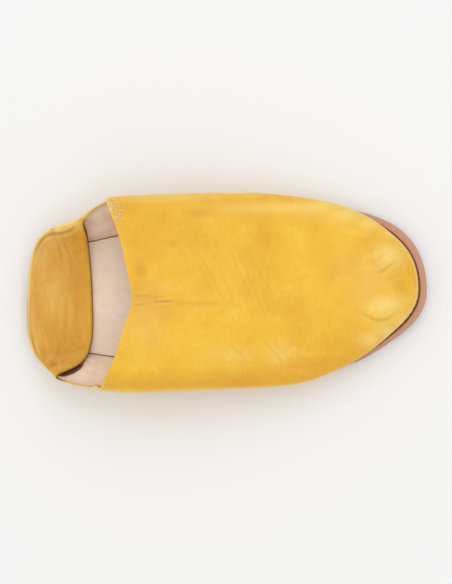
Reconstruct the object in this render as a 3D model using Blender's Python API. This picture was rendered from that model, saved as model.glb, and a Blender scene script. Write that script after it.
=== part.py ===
"""Babouche slipper for the right foot, standing empty, its soft back trodden down onto the insole.

Metres. +X runs to the toe, +Y to the wearer's left (the inner side of the foot) and +Z up.
Distances along the shoe are counted from the heel end until the finished pieces are centred.
"""

from math import pi

import bmesh
import bpy
import numpy as np

MM = 0.001

# Sole
SOLE_LENGTH = 267 * MM
BALL_WIDTH = 110 * MM
SOLE_THICKNESS = 4.5 * MM
ARCH_LIFT = 1.5 * MM
TOE_SPRING = 6 * MM
SOLE_EDGE_ROUND = 0.8 * MM

# Insole
INSOLE_THICKNESS = 2.0 * MM
INSOLE_EDGE_ROUND = 0.4 * MM

# Upper, heights counted from the top of the sole
VAMP_WALL = 1.5 * MM
QUARTER_WALL = 1.4 * MM
THROAT_HEIGHT = 58 * MM
SIDE_HEIGHT = 35 * MM
SIDE_BULGE = 20 * MM
TOE_MARGIN = 7 * MM
RIDGE_SHIFT = 5 * MM

# Collar opening and the back folded down inside it, counted from the heel end; the medial corner
# lies further forward than the lateral one, by twice the skew
NOTCH_REACH = 75.5 * MM
CORNER_REACH = 54 * MM
CORNER_SKEW = 3.7 * MM
WING_REACH = 101 * MM
QUARTER_REACH = 115 * MM
FLAP_REACH = 44 * MM
COLLAR_HALF = 60 * MM

# Clearances
GAP = 0.3 * MM
NEST_GAP = 0.6 * MM
SEAM_LIFT = 0.6 * MM
WELD = 0.001 * MM

# Shares of the wall's height that the quarter's rim reaches under the vamp's corner and loses
# further forward, and the run over which it comes up again behind the corner
RIM_TUCK, RIM_FALL = 0.95, 0.40
CORNER_TURN = 14 * MM

# Shares of the length where the sole's two ends begin to round, and how square each round is
HEEL_ROUND, TOE_ROUND = 0.13, 0.30
HEEL_SQUARENESS = {"medial": 2.3, "lateral": 2.9}
TOE_SQUARENESS = 2.3


def table(columns, *rows):
    return dict(zip(columns.split(), np.array(rows, float).T))


# Side of the sole before its ends are rounded: share of the length, then shares of the ball width
SOLE_SIDE = table(
    "along medial lateral",
    (0.00, 0.365, 0.340),
    (0.15, 0.392, 0.365),
    (0.22, 0.428, 0.398),
    (0.35, 0.455, 0.423),
    (0.50, 0.486, 0.450),
    (0.62, 0.510, 0.468),
    (0.72, 0.523, 0.473),
    (0.82, 0.523, 0.458),
    (0.90, 0.532, 0.404),
    (1.00, 0.560, 0.365),
)

# Run of the sole from heel to toe: arch as a share of ARCH_LIFT, spring of TOE_SPRING
SOLE_RUN = table(
    "along arch spring",
    (0.00, 0.0, 0.00),
    (0.20, 0.0, 0.00),
    (0.40, 1.0, 0.00),
    (0.60, 0.0, 0.00),
    (0.72, 0.0, 0.00),
    (0.82, 0.0, 0.16),
    (0.91, 0.0, 0.52),
    (1.00, 0.0, 1.00),
)

# Margin of sole outside the upper's seam, as a share of TOE_MARGIN
SEAM_MARGIN = table(
    "along medial lateral",
    (0.00, 0.10, 0.10),
    (0.20, 0.18, 0.18),
    (0.70, 0.30, 0.28),
    (0.80, 0.40, 0.40),
    (0.86, 0.68, 0.55),
    (0.93, 1.10, 0.82),
    (0.97, 1.12, 0.96),
    (1.00, 1.00, 1.00),
)

# Wall of the upper: how far it bulges past its seam, as shares of SIDE_BULGE, and how high its
# widest line runs, as shares of SIDE_HEIGHT
WALL = table(
    "along medial_bulge lateral_bulge medial_height lateral_height",
    (0.000, 0.00, 0.00, 0.24, 0.24),
    (0.030, 0.24, 0.34, 0.34, 0.36),
    (0.060, 0.56, 0.60, 0.44, 0.52),
    (0.090, 0.62, 0.80, 0.58, 0.74),
    (0.130, 0.58, 0.96, 0.72, 0.88),
    (0.155, 0.68, 0.99, 0.82, 0.94),
    (0.180, 0.84, 1.00, 0.94, 0.98),
    (0.205, 0.92, 1.00, 1.00, 1.00),
    (0.300, 0.90, 0.96, 0.96, 0.96),
    (0.400, 0.82, 0.86, 0.88, 0.88),
    (0.500, 0.70, 0.74, 0.80, 0.80),
    (0.600, 0.56, 0.64, 0.70, 0.70),
    (0.680, 0.38, 0.53, 0.60, 0.60),
    (0.740, 0.24, 0.31, 0.50, 0.50),
    (0.800, 0.15, 0.13, 0.40, 0.40),
    (0.880, 0.06, 0.06, 0.30, 0.30),
    (1.000, 0.03, 0.03, 0.24, 0.24),
)

# Ridge along the top of the vamp: height as a share of THROAT_HEIGHT, sideways of RIDGE_SHIFT
RIDGE = table(
    "along height sideways",
    (0.18, 0.98, -1.00),
    (0.28, 1.00, -1.00),
    (0.40, 0.93, -0.85),
    (0.52, 0.82, -0.45),
    (0.64, 0.68, 0.00),
    (0.74, 0.57, 0.40),
    (0.84, 0.51, 0.60),
)

# Rear edge of the vamp, up each side: share of the wall's height to the corner, how far the edge
# still lies ahead of the corner as a share of the way to the sole
WING_EDGE = table(
    "up ahead",
    (0.00, 1.00),
    (0.25, 0.80),
    (0.50, 0.55),
    (0.75, 0.27),
    (0.92, 0.07),
    (1.00, 0.00),
)

# The same edge from the corner to the notch, as shares of the way from corner to notch
THROAT_EDGE = table(
    "up medial lateral",
    (0.00, 0.00, 0.00),
    (0.15, 0.04, 0.04),
    (0.40, 0.28, 0.24),
    (0.52, 0.48, 0.42),
    (0.65, 0.64, 0.57),
    (0.80, 0.79, 0.72),
    (0.93, 0.92, 0.88),
    (1.00, 1.00, 1.00),
)

# Free edge of the quarter from the medial corner round the heel to the lateral corner: share of
# the seam's way round, then forward as a share of FLAP_REACH, sideways of COLLAR_HALF and height
# of SIDE_HEIGHT. The rows between the two fold points run along the flap that lies on the insole.
COLLAR_EDGE = table(
    "round forward sideways height",
    (0.000, 1.310, 1.000, 1.00),
    (0.090, 0.950, 0.810, 0.97),
    (0.130, 0.990, 0.745, 0.83),
    (0.190, 0.996, 0.640, 0.51),
    (0.280, 1.000, 0.417, 0.23),
    (0.390, 1.005, 0.167, 0.13),
    (0.490, 1.005, -0.067, 0.12),
    (0.570, 1.005, -0.242, 0.12),
    (0.640, 0.985, -0.450, 0.17),
    (0.680, 0.945, -0.617, 0.29),
    (0.700, 0.900, -0.677, 0.40),
    (0.725, 0.810, -0.740, 0.54),
    (0.750, 0.680, -0.785, 0.69),
    (0.790, 0.465, -0.840, 0.89),
    (0.840, 0.610, -0.890, 0.92),
    (0.900, 0.800, -0.935, 0.96),
    (1.000, 1.140, -1.000, 1.00),
)

# Shares of the lengths of a section's Bezier handles
WALL_FOOT, WALL_TOP = 0.35, 0.35
SHOULDER_SIDE, SHOULDER_TOP = 0.52, 0.46

# Share of the length where the vamp's ribs begin to fan round the toe, and where they meet; the
# share of the fan over which their tops draw together, and how fast they do
FAN_START, FAN_CENTRE = 0.62, 0.83
GATHER_SHARE, GATHER_POWER = 0.28, 1.6

# Counts of mesh steps
SOLE_STATIONS = 34
REAR_STEPS, FAN_RIBS = 15, 26
WALL_ROWS, SHOULDER_ROWS = 7, 8
QUARTER_RIBS, QUARTER_ROWS = 70, 16
PATH_STEPS = 33
DENSE = 361

# Fold of the quarter: how far the leather rises over its crease, at most and as a share of the
# flap, the share of the seam's way round over which the rim first turns in, the handle of the
# flap's curve and how far it sags, as shares of the flap
FOLD_RISE, FOLD_RISE_SHARE = 7 * MM, 0.45
FIRST_FOLD = 0.09
FLAP_HANDLE, FLAP_SAG = 0.55, 0.12

# Shares of the way from the heel end to the corner where the wall begins to lean straight
# sideways, where the folded leather stops being slack and where the corner's own part starts
SQUARE_START, SLACK_END, CORNER_START = 0.55, 0.70, 0.95

# Mesh of the fold: reach of the closer rows beside the crease, how much closer they and the bare
# part's ribs lie, the flap's lengths in such reaches from which and up to which its rows close up,
# where the closer ribs end in shares of the corner's reach, and how its bends are eased
BEND_REACH = 6 * MM
BEND_CLOSENESS, BARE_CLOSENESS = 2.5, 1.5
SHORT_FLAP, LONG_FLAP = 0.7, 2.7
BARE_END = 1.3
FOLD_EASING = 6
SHEET_EASING, EDGE_EASING = 0.5, 0.15


def flow(rows, column, at):
    """A smooth curve through a table's column, at one share or many."""
    x, y = rows[next(iter(rows))], rows[column]
    slope = np.gradient(y, x)
    at = np.clip(at, x[0], x[-1])
    low = np.clip(np.searchsorted(x, at, side="right") - 1, 0, len(x) - 2)
    width = x[low + 1] - x[low]
    t = (at - x[low]) / width
    return (
        (1 + 2 * t) * (1 - t) ** 2 * y[low]
        + t * (1 - t) ** 2 * width * slope[low]
        + t * t * (3 - 2 * t) * y[low + 1]
        + t * t * (t - 1) * width * slope[low + 1]
    )


def ease(value, low, high):
    t = np.clip((value - low) / (high - low), 0, 1)
    return t * t * (3 - 2 * t)


def unit(vectors):
    return vectors / np.linalg.norm(vectors, axis=-1, keepdims=True)


def round_end(share, reach, squareness):
    inward = np.clip((reach - share) / reach, 0, 1)
    return (1 - inward**squareness) ** (1 / squareness)


def sole_half(side, x):
    share = x / SOLE_LENGTH
    heel = round_end(share, HEEL_ROUND, HEEL_SQUARENESS[side])
    toe = round_end(1 - share, TOE_ROUND, TOE_SQUARENESS)
    return BALL_WIDTH * flow(SOLE_SIDE, side, share) * heel * toe


def sole_bottom(x):
    share = x / SOLE_LENGTH
    return ARCH_LIFT * flow(SOLE_RUN, "arch", share) + TOE_SPRING * flow(SOLE_RUN, "spring", share)


def sole_top(x):
    return sole_bottom(x) + SOLE_THICKNESS


def seam_margin(x, y):
    share = x / SOLE_LENGTH
    medial, lateral = (flow(SEAM_MARGIN, side, share) for side in ("medial", "lateral"))
    return TOE_MARGIN * np.where(np.asarray(y) > 0, medial, lateral)


def corner_reach(y):
    """How far from the heel end the vamp's rear corner lies on the side of y."""
    return CORNER_REACH + CORNER_SKEW * np.sign(y)


def outline(inset, count=DENSE):
    """(medial, lateral): points of the sole's edge from heel end to toe end, moved inward."""
    x = SOLE_LENGTH * (1 - np.cos(np.linspace(0, pi, count))) / 2
    medial = np.stack([x, sole_half("medial", x)], axis=1)
    lateral = np.stack([x, -sole_half("lateral", x)], axis=1)
    loop = np.concatenate([medial, lateral[-2:0:-1]])
    along = np.roll(loop, -1, axis=0) - np.roll(loop, 1, axis=0)
    outward = unit(np.stack([-along[:, 1], along[:, 0]], axis=1))
    loop = loop - outward * np.reshape(inset(loop[:, 0], loop[:, 1]), (-1, 1))
    return loop[:count], np.concatenate([loop[:1], loop[: count - 2 : -1]])


def length_along(points):
    steps = np.linalg.norm(np.diff(points, axis=0), axis=1)
    return np.concatenate([[0], np.cumsum(steps)])


def spaced(points, count, density=None):
    """Points along a polyline, evenly spaced or closer together where its density is higher."""
    run = length_along(points)
    density = np.ones(len(points)) if density is None else density
    weight = np.concatenate([[0], np.cumsum((density[1:] + density[:-1]) / 2 * np.diff(run))])
    at = np.interp(np.linspace(0, weight[-1], count), weight, run)
    return np.stack([np.interp(at, run, column) for column in points.T], axis=1)


def cut_at(points, x):
    """The stretch of a heel-to-toe polyline behind x, ending on it."""
    kept = points[points[:, 0] < x]
    return np.vstack([kept, [x, np.interp(x, points[:, 0], points[:, 1])]])


def bezier(controls, t):
    a, b, c, d = (np.asarray(point, float) for point in controls)
    t = np.reshape(t, (-1, 1))
    return a * (1 - t) ** 3 + 3 * b * t * (1 - t) ** 2 + 3 * c * t * t * (1 - t) + d * t**3


def wall_curve(bulge, height, t):
    """Section of the upper's wall from its seam to its widest line: (outward, up)."""
    foot, top = (0, WALL_FOOT * height), (bulge, (1 - WALL_TOP) * height)
    return bezier([(0, 0), foot, top, (bulge, height)], t)


def wall_size(side, x):
    share = x / SOLE_LENGTH
    bulge = SIDE_BULGE * flow(WALL, side + "_bulge", share)
    return bulge, SIDE_HEIGHT * flow(WALL, side + "_height", share)


def ridge_point(x):
    share = x / SOLE_LENGTH
    height = THROAT_HEIGHT * flow(RIDGE, "height", share)
    return np.array([x, RIDGE_SHIFT * flow(RIDGE, "sideways", share), sole_top(x) + height])


def vamp_rib(seam, ridge, side):
    """Outer face of the vamp along one rib, from the seam over the wall to the ridge."""
    bulge, height = wall_size(side, seam[0])
    span = np.linalg.norm(seam - ridge[:2])
    outward = (seam - ridge[:2]) / span
    foot = sole_top(seam[0])
    crown = ridge[2] - foot
    wall = wall_curve(bulge, height, np.linspace(0, 1, WALL_ROWS + 1))
    side_handle = (bulge, height + SHOULDER_SIDE * (crown - height))
    top_handle = (SHOULDER_TOP * (span + bulge) - span, crown)
    shoulder = bezier(
        [(bulge, height), side_handle, top_handle, (-span, crown)],
        np.linspace(0, 1, SHOULDER_ROWS + 1)[1:],
    )
    section = np.concatenate([wall, shoulder])
    section[0, 1] += SEAM_LIFT
    flat = seam + outward * section[:, :1]
    return np.column_stack([flat, foot + section[:, 1]])


def rear_edge(row, side):
    """Where the vamp's rear edge crosses a row of its mesh, from the heel end."""
    corner = corner_reach(1 if side == "medial" else -1)
    if row <= WALL_ROWS:
        return corner + (WING_REACH - corner) * flow(WING_EDGE, "ahead", row / WALL_ROWS)
    ahead = flow(THROAT_EDGE, side, (row - WALL_ROWS) / SHOULDER_ROWS)
    return corner + (NOTCH_REACH - corner) * ahead


def vamp_grid():
    """Columns of outer points from the medial rear edge round the toe to the lateral one."""
    seams = dict(zip(("medial", "lateral"), outline(seam_margin)))
    fan_start = FAN_START * SOLE_LENGTH
    rows = range(WALL_ROWS + SHOULDER_ROWS + 1)

    def rear_point(side, row, share):
        edge = rear_edge(row, side)
        x = edge + (fan_start - edge) * share
        seam = np.array([x, np.interp(x, seams[side][:, 0], seams[side][:, 1])])
        ridge = ridge_point(x)
        straight = np.array([x, seam[1]])
        return vamp_rib(straight, ridge, side)[row]

    def rear(side):
        shares = np.linspace(0, 1, REAR_STEPS + 1)
        return [[rear_point(side, row, share) for row in rows] for share in shares[:-1]]

    def ahead(side):
        points = seams[side]
        start = [fan_start, np.interp(fan_start, points[:, 0], points[:, 1])]
        return np.vstack([start, points[points[:, 0] > fan_start]])

    round_toe = np.concatenate([ahead("medial"), ahead("lateral")[::-1][1:]])
    fan = []
    for number, seam in enumerate(spaced(round_toe, FAN_RIBS + 1)):
        share = min(number, FAN_RIBS - number) / FAN_RIBS
        gathered = 1 - (1 - min(share / GATHER_SHARE, 1)) ** GATHER_POWER
        x = fan_start + (FAN_CENTRE * SOLE_LENGTH - fan_start) * gathered
        side = "medial" if number <= FAN_RIBS // 2 else "lateral"
        fan.append(vamp_rib(seam, ridge_point(x), side))
    return np.array(rear("medial") + fan + rear("lateral")[::-1])


def nest_depth():
    """From the vamp's outer face to the middle of the quarter's wall inside it."""
    return VAMP_WALL + NEST_GAP + QUARTER_WALL / 2


def quarter_depth(x, y):
    return seam_margin(x, y) + nest_depth()


def rows_round_bend(path, bend, folded):
    """The rows along one rib, drawn together at the bend where it is folded."""
    run = length_along(path)
    near = np.exp(-(((run - run[bend]) / BEND_REACH) ** 2))
    return spaced(path, QUARTER_ROWS + 1, 1 + BEND_CLOSENESS * folded * near)


def standing_wall(seam, normal, side):
    """Middle of the quarter's wall from the seam to its rim, or to the crease where it folds."""
    x, corner = seam[0], corner_reach(seam[1])
    t = np.linspace(0, 1, PATH_STEPS)
    section = wall_curve(*wall_size(side, x), t)
    # The nested wall keeps its clearance square to the vamp, so it moves in more where it leans.
    lean = unit(np.gradient(section, axis=0))[:, 1]
    section[:, 0] -= nest_depth() * (1 / lean - 1)
    covered = ease(x, corner, QUARTER_REACH)
    bared = ease(corner - x, 0, CORNER_TURN)
    top = RIM_TUCK + (1 - RIM_TUCK) * bared - RIM_FALL * covered
    section = np.stack([np.interp(t * top, t, column) for column in section.T], axis=1)
    section[0, 1] += SEAM_LIFT
    return np.column_stack([seam + normal * section[:, :1], sole_top(x) + section[:, 1]])


def collar_edge(round_share):
    forward = FLAP_REACH * flow(COLLAR_EDGE, "forward", round_share)
    sideways = COLLAR_HALF * flow(COLLAR_EDGE, "sideways", round_share)
    height = SIDE_HEIGHT * flow(COLLAR_EDGE, "height", round_share)
    return np.array([forward, sideways, sole_top(forward) + height])


def quarter_rib(seam, normal, side, round_share):
    """Middle of the quarter along one rib: up its wall and, behind the corners, over the fold."""
    wall = standing_wall(seam, normal, side)
    crease = wall[-1]
    if not 0 < round_share < 1:
        return rows_round_bend(wall, -1, 0)
    freed = ease(min(round_share, 1 - round_share), 0, FIRST_FOLD)
    edge = crease + (collar_edge(round_share) - crease) * freed
    reach = np.linalg.norm(edge - crease)
    over = crease + [0, 0, min(FOLD_RISE, FOLD_RISE_SHARE * reach)]
    settle = edge + (over - edge) * FLAP_HANDLE - [0, 0, FLAP_SAG * reach]
    flap = bezier([crease, over, settle, edge], np.linspace(0, 1, PATH_STEPS)[1:])
    folded = ease(reach, SHORT_FLAP * BEND_REACH, LONG_FLAP * BEND_REACH)
    return rows_round_bend(np.concatenate([wall, flap]), len(wall) - 1, folded)


def quarter_grid():
    """Columns of middle points from the medial front end round the heel to the lateral one."""
    medial, lateral = outline(quarter_depth)
    back = [cut_at(points, QUARTER_REACH) for points in (medial, lateral)]
    run = np.concatenate([back[0][::-1], back[1][1:]])
    corner = corner_reach(run[:, 1])
    bare = 1 - ease(run[:, 0], corner, BARE_END * corner)
    seams = spaced(run, QUARTER_RIBS + 1, 1 + BARE_CLOSENESS * bare)
    reach = seams[:, 0] / corner_reach(seams[:, 1])
    along = np.gradient(seams, axis=0)
    outward = unit(np.stack([along[:, 1], -along[:, 0]], axis=1))
    outward *= np.sign(np.sum(outward * (seams - [CORNER_REACH, 0]), axis=1))[:, None]
    square = ease(reach, SQUARE_START, CORNER_START)[:, None]
    straight = np.stack([0 * reach, np.sign(seams[:, 1])], axis=1)
    outward = unit(outward * (1 - square) + straight * square)
    steps = length_along(seams)
    heel = np.argmin(seams[:, 0])
    first = np.interp(-corner_reach(1), -seams[: heel + 1, 0], steps[: heel + 1])
    last = np.interp(corner_reach(-1), seams[heel:, 0], steps[heel:])
    shares = (steps - first) / (last - first)
    grid = np.array([
        quarter_rib(seam, normal, "medial" if seam[1] > 0 else "lateral", share)
        for seam, normal, share in zip(seams, outward, shares)
    ])
    return relaxed(grid, 1 - ease(reach, SLACK_END, CORNER_START))


def relaxed(grid, slack):
    """The folded leather eased into round bends, more where a rib's slack is nearer 1."""
    share = slack[1:-1, None, None]
    for _ in range(FOLD_EASING):
        around = (grid[:-2, 1:-1] + grid[2:, 1:-1] + grid[1:-1, :-2] + grid[1:-1, 2:]) / 4
        edge = (grid[:-2, -1] + grid[2:, -1]) / 2
        grid[1:-1, 1:-1] += SHEET_EASING * share * (around - grid[1:-1, 1:-1])
        grid[1:-1, -1] += EDGE_EASING * share[:, 0] * (edge - grid[1:-1, -1])
    return grid


def finish(name, color, roughness):
    material = bpy.data.materials.new(name)
    material.use_nodes = True
    shader = material.node_tree.nodes["Principled BSDF"]
    shader.inputs["Base Color"].default_value = (*color, 1)
    shader.inputs["Roughness"].default_value = roughness
    shader.inputs["Metallic"].default_value = 0
    return material


def add(name, points, faces, material):
    mesh = bpy.data.meshes.new(name)
    mesh.from_pydata([tuple(point) for point in points], [], faces)
    work = bmesh.new()
    work.from_mesh(mesh)
    bmesh.ops.remove_doubles(work, verts=work.verts, dist=WELD)
    bmesh.ops.recalc_face_normals(work, faces=work.faces)
    work.to_mesh(mesh)
    work.free()
    mesh.materials.append(material)
    mesh.shade_smooth()
    piece = bpy.data.objects.new(name, mesh)
    bpy.context.scene.collection.objects.link(piece)
    return piece


def leather(name, grid, wall, offset, material):
    """A sheet of leather through a grid of points, thickened to its wall."""
    columns, rows = grid.shape[:2]
    faces = [
        (c * rows + r, (c + 1) * rows + r, (c + 1) * rows + r + 1, c * rows + r + 1)
        for c in range(columns - 1)
        for r in range(rows - 1)
    ]
    piece = add(name, grid.reshape(-1, 3), faces, material)
    thick = piece.modifiers.new("wall", "SOLIDIFY")
    thick.thickness = wall
    thick.offset = offset
    thick.use_even_offset = offset != 0
    return piece


def slab(name, depth, floor, thickness, rounding, material):
    """A flat layer inside the sole's edge, with rounded rims, following the sole's run."""
    rims = [
        (rounding, 0),
        (0, rounding),
        (0, thickness - rounding),
        (rounding, thickness),
    ]
    loops = []
    for inset, lift in rims:
        medial, lateral = outline(lambda x, y: depth(x, y) + inset, SOLE_STATIONS + 1)
        loop = np.concatenate([medial, lateral[-2:0:-1]])
        loops.append(np.column_stack([loop, floor(loop[:, 0]) + lift]))
    count = len(loops[0])
    points = np.concatenate(loops)
    faces = []
    for level in range(len(rims) - 1):
        for i in range(count):
            low, high = level * count, (level + 1) * count
            after = (i + 1) % count
            faces.append((low + i, low + after, high + after, high + i))
    for level in (0, len(rims) - 1):
        start = level * count
        for i in range(SOLE_STATIONS):
            across = [start + i, start + i + 1]
            across += [start + (count - i - 1) % count, start + (count - i) % count]
            faces.append(tuple(dict.fromkeys(across)))
    return add(name, points, faces, material)


def outsole_depth(x, y):
    return 0 * x


def insole_depth(x, y):
    return quarter_depth(x, y) + QUARTER_WALL / 2 + GAP


def centre(pieces):
    """Stands the shoe on the floor with its box centred on the origin."""
    bpy.context.view_layer.update()
    graph = bpy.context.evaluated_depsgraph_get()
    corners = np.concatenate([np.array(piece.evaluated_get(graph).bound_box) for piece in pieces])
    low, high = corners.min(axis=0), corners.max(axis=0)
    for piece in pieces:
        piece.location = (-(low[0] + high[0]) / 2, -(low[1] + high[1]) / 2, -low[2])


def build():
    for old in list(bpy.data.objects):
        bpy.data.objects.remove(old)
    yellow = finish("dyed_yellow_leather", (0.80, 0.47, 0.045), 0.45)
    worn = finish("worn_yellow_leather", (0.66, 0.36, 0.055), 0.6)
    natural = finish("natural_sole_leather", (0.50, 0.26, 0.14), 0.7)
    lining = finish("insole_leather", (0.70, 0.51, 0.39), 0.75)
    pieces = [
        slab("outsole", outsole_depth, sole_bottom, SOLE_THICKNESS, SOLE_EDGE_ROUND, natural),
        slab(
            "insole",
            insole_depth,
            lambda x: sole_top(x) + GAP,
            INSOLE_THICKNESS,
            INSOLE_EDGE_ROUND,
            lining,
        ),
        leather("upper_quarter", quarter_grid(), QUARTER_WALL, 0, worn),
        leather("upper_vamp", vamp_grid(), VAMP_WALL, -1, yellow),
    ]
    centre(pieces)


build()
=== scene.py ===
"""The looks of one flat leather slipper with its back trodden down."""
import math
from collections import namedtuple

import bmesh
import bpy
import numpy as np
from mathutils import Matrix, Vector, kdtree, noise
from mathutils.bvhtree import BVHTree


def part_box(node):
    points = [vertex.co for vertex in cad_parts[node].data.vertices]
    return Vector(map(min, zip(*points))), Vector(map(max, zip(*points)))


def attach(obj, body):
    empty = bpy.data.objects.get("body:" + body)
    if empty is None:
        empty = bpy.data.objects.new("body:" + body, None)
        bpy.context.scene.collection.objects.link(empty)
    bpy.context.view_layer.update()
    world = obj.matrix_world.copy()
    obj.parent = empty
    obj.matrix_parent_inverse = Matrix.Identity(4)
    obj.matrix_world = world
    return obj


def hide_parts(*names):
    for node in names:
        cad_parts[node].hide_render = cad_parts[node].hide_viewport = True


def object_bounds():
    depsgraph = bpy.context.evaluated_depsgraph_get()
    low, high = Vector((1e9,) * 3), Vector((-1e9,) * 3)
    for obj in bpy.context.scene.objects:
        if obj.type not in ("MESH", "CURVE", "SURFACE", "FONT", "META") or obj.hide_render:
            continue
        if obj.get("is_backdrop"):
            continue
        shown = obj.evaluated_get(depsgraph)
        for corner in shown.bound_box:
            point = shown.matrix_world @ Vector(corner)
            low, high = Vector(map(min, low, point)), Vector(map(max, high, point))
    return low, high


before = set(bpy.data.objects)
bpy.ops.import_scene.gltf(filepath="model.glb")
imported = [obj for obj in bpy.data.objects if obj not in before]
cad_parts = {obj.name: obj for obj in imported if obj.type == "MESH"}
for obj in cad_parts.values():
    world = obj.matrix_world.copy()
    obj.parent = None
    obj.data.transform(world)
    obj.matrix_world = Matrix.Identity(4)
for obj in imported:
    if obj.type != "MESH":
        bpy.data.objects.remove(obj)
cad_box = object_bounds()

MM = 0.001

# The tables below count x from a mark on the shoe's long axis, this far ahead of its heel end
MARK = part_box("outsole")[0][0] + 130.5 * MM

# The wall's middle line, from which the leather's outer side faces away
AXIS_HEIGHT = 12 * MM
AXIS_HEEL = -95 * MM
AXIS_TOE = 90 * MM

# Edges that fold more than this bound the leather's cut edge, and stay nearly sharp
CUT_ANGLE = math.radians(60)
CUT_CREASE = 0.95
WELD = 0.001 * MM

# How unlike two facets may be, in radians, that join to one four-sided face
JOIN_FACE_ANGLE = 0.9
JOIN_SHAPE_ANGLE = 1.6

# Where the photograph was taken from, with the shoe's middle as the zero, and how far it is rolled
CAMERA_PLACE = (0.0152, -0.0603, 1.0)
CAMERA_AIM = (0.0, 0.0, 0.02)
CAMERA_ROLL = math.radians(2.0)
VIEW_LENGTH = 0.385
SENSOR = 36.0
CLIP_END = 20.0

# A line pressed into the leather or, with a negative depth, raised from it. Its points are in
# millimetres: x and y seen from above, x and z seen from a side, y and z seen from behind.
Crease = namedtuple("Crease", "way depth width points")

VAMP_CREASES = (
    Crease("above", 0.30, 0.8, ((-58, -4.0), (-52, -3.4), (-45, -3.6), (-36, -4.2))),
    Crease("above", 0.34, 0.8, ((-44, -6.4), (-39, -7.0), (-34, -6.9), (-28, -7.4))),
    Crease("above", 0.24, 0.8, ((-57, -8.2), (-53, -8.7), (-47, -8.5))),
    Crease("above", 0.10, 1.6, ((-36, -7.4), (-20, -8.8), (-4, -9.4), (12, -9.0))),
    Crease("above", -0.20, 3.2, ((-55, 0.5), (-42, 1.2), (-28, 1.0), (-12, 0.0))),
    Crease("above", -0.16, 3.0, ((-50, -13), (-36, -13.5), (-20, -15.5))),
    Crease("above", 0.20, 1.0, ((100, 8.0), (105, 9.2), (110, 12.6), (116, 16.6))),
    Crease("above", 0.10, 1.0, ((99, 15), (104, 17.4), (109, 22.5))),
    Crease("above", 0.10, 1.0, ((106, 3.0), (112, 4.5), (118, 8.5))),
    Crease("above", -0.14, 2.6, ((96, 12), (104, 14), (112, 19))),
    Crease("above", 0.20, 1.2, ((88, -16), (94, -19.5), (101, -22.5), (108, -21.6), (113, -18))),
    Crease("above", -0.16, 2.8, ((90, -11), (98, -15.5), (105, -16), (111, -12.5))),
    Crease("above", 0.08, 1.2, ((98, -27), (104, -28), (110, -25.5))),
    Crease("above", 0.12, 1.1, ((27, -33), (31, -39), (36, -45), (38, -49))),
    Crease("above", 0.10, 1.1, ((33, -34), (38, -40), (43, -46))),
    Crease("above", 0.10, 1.2, ((4, -36), (11, -41), (15, -47))),
    Crease("above", 0.20, 8.0, ((30, 44), (36, 26), (38, 6), (35, -14))),
    Crease("above", -0.20, 9.0, ((46, 40), (52, 22), (53, 0), (49, -20))),
    Crease("above", 0.16, 7.0, ((62, 36), (66, 18), (66, -2))),
    Crease("above", 0.18, 8.0, ((-24, 50), (-16, 38), (-10, 24))),
    Crease("above", -0.16, 8.0, ((-8, -50), (-2, -38), (0, -24))),
    Crease("left", 0.50, 2.4, ((-66, 31), (-44, 27.5), (-20, 26), (6, 22))),
    Crease("left", -0.40, 3.2, ((-58, 25), (-34, 21.5), (-8, 19.5), (16, 16))),
    Crease("left", 0.40, 2.0, ((-34, 17), (-14, 15), (12, 12.5), (30, 11.5))),
    Crease("left", 0.34, 2.0, ((40, 21), (58, 17.5), (74, 14.5))),
    Crease("right", 0.55, 2.4, ((-70, 32), (-48, 28), (-22, 27), (4, 23.5))),
    Crease("right", -0.42, 3.4, ((-60, 26), (-36, 23), (-10, 21), (18, 17))),
    Crease("right", 0.45, 2.0, ((-40, 18), (-18, 15.5), (8, 14), (28, 12))),
    Crease("right", 0.38, 2.0, ((34, 22), (52, 18), (70, 15), (84, 14))),
)

# Faint parallel lines slant across the vamp where it was stretched over the block
SLANT_START = (-6, 38)
SLANT_END = (19, -25)
SLANT_OFFSETS = (-17, -12.5, -9, -4, 0, 3.5, 8, 13, 21)
SLANT_DEPTH = 0.07
SLANT_WIDTH = 0.9
# How far, in millimetres, their starts, ends and bows differ from one to the next
SLANT_INSET = 4
SLANT_OVERRUN = 9
SLANT_STEP = 5
SLANT_BOW = 1.5

# The worn bend round the heel, just inside its outline, from the medial to the lateral side
HEEL_BEND = (
    (-93, 46.4), (-97.5, 43.4), (-105, 41.9), (-112, 41.5), (-117.3, 38.8), (-121.3, 33.3),
    (-124.4, 25), (-127, 12), (-128.4, -4), (-127.2, -21), (-124.4, -34), (-119.4, -44),
    (-113, -51),
)

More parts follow.
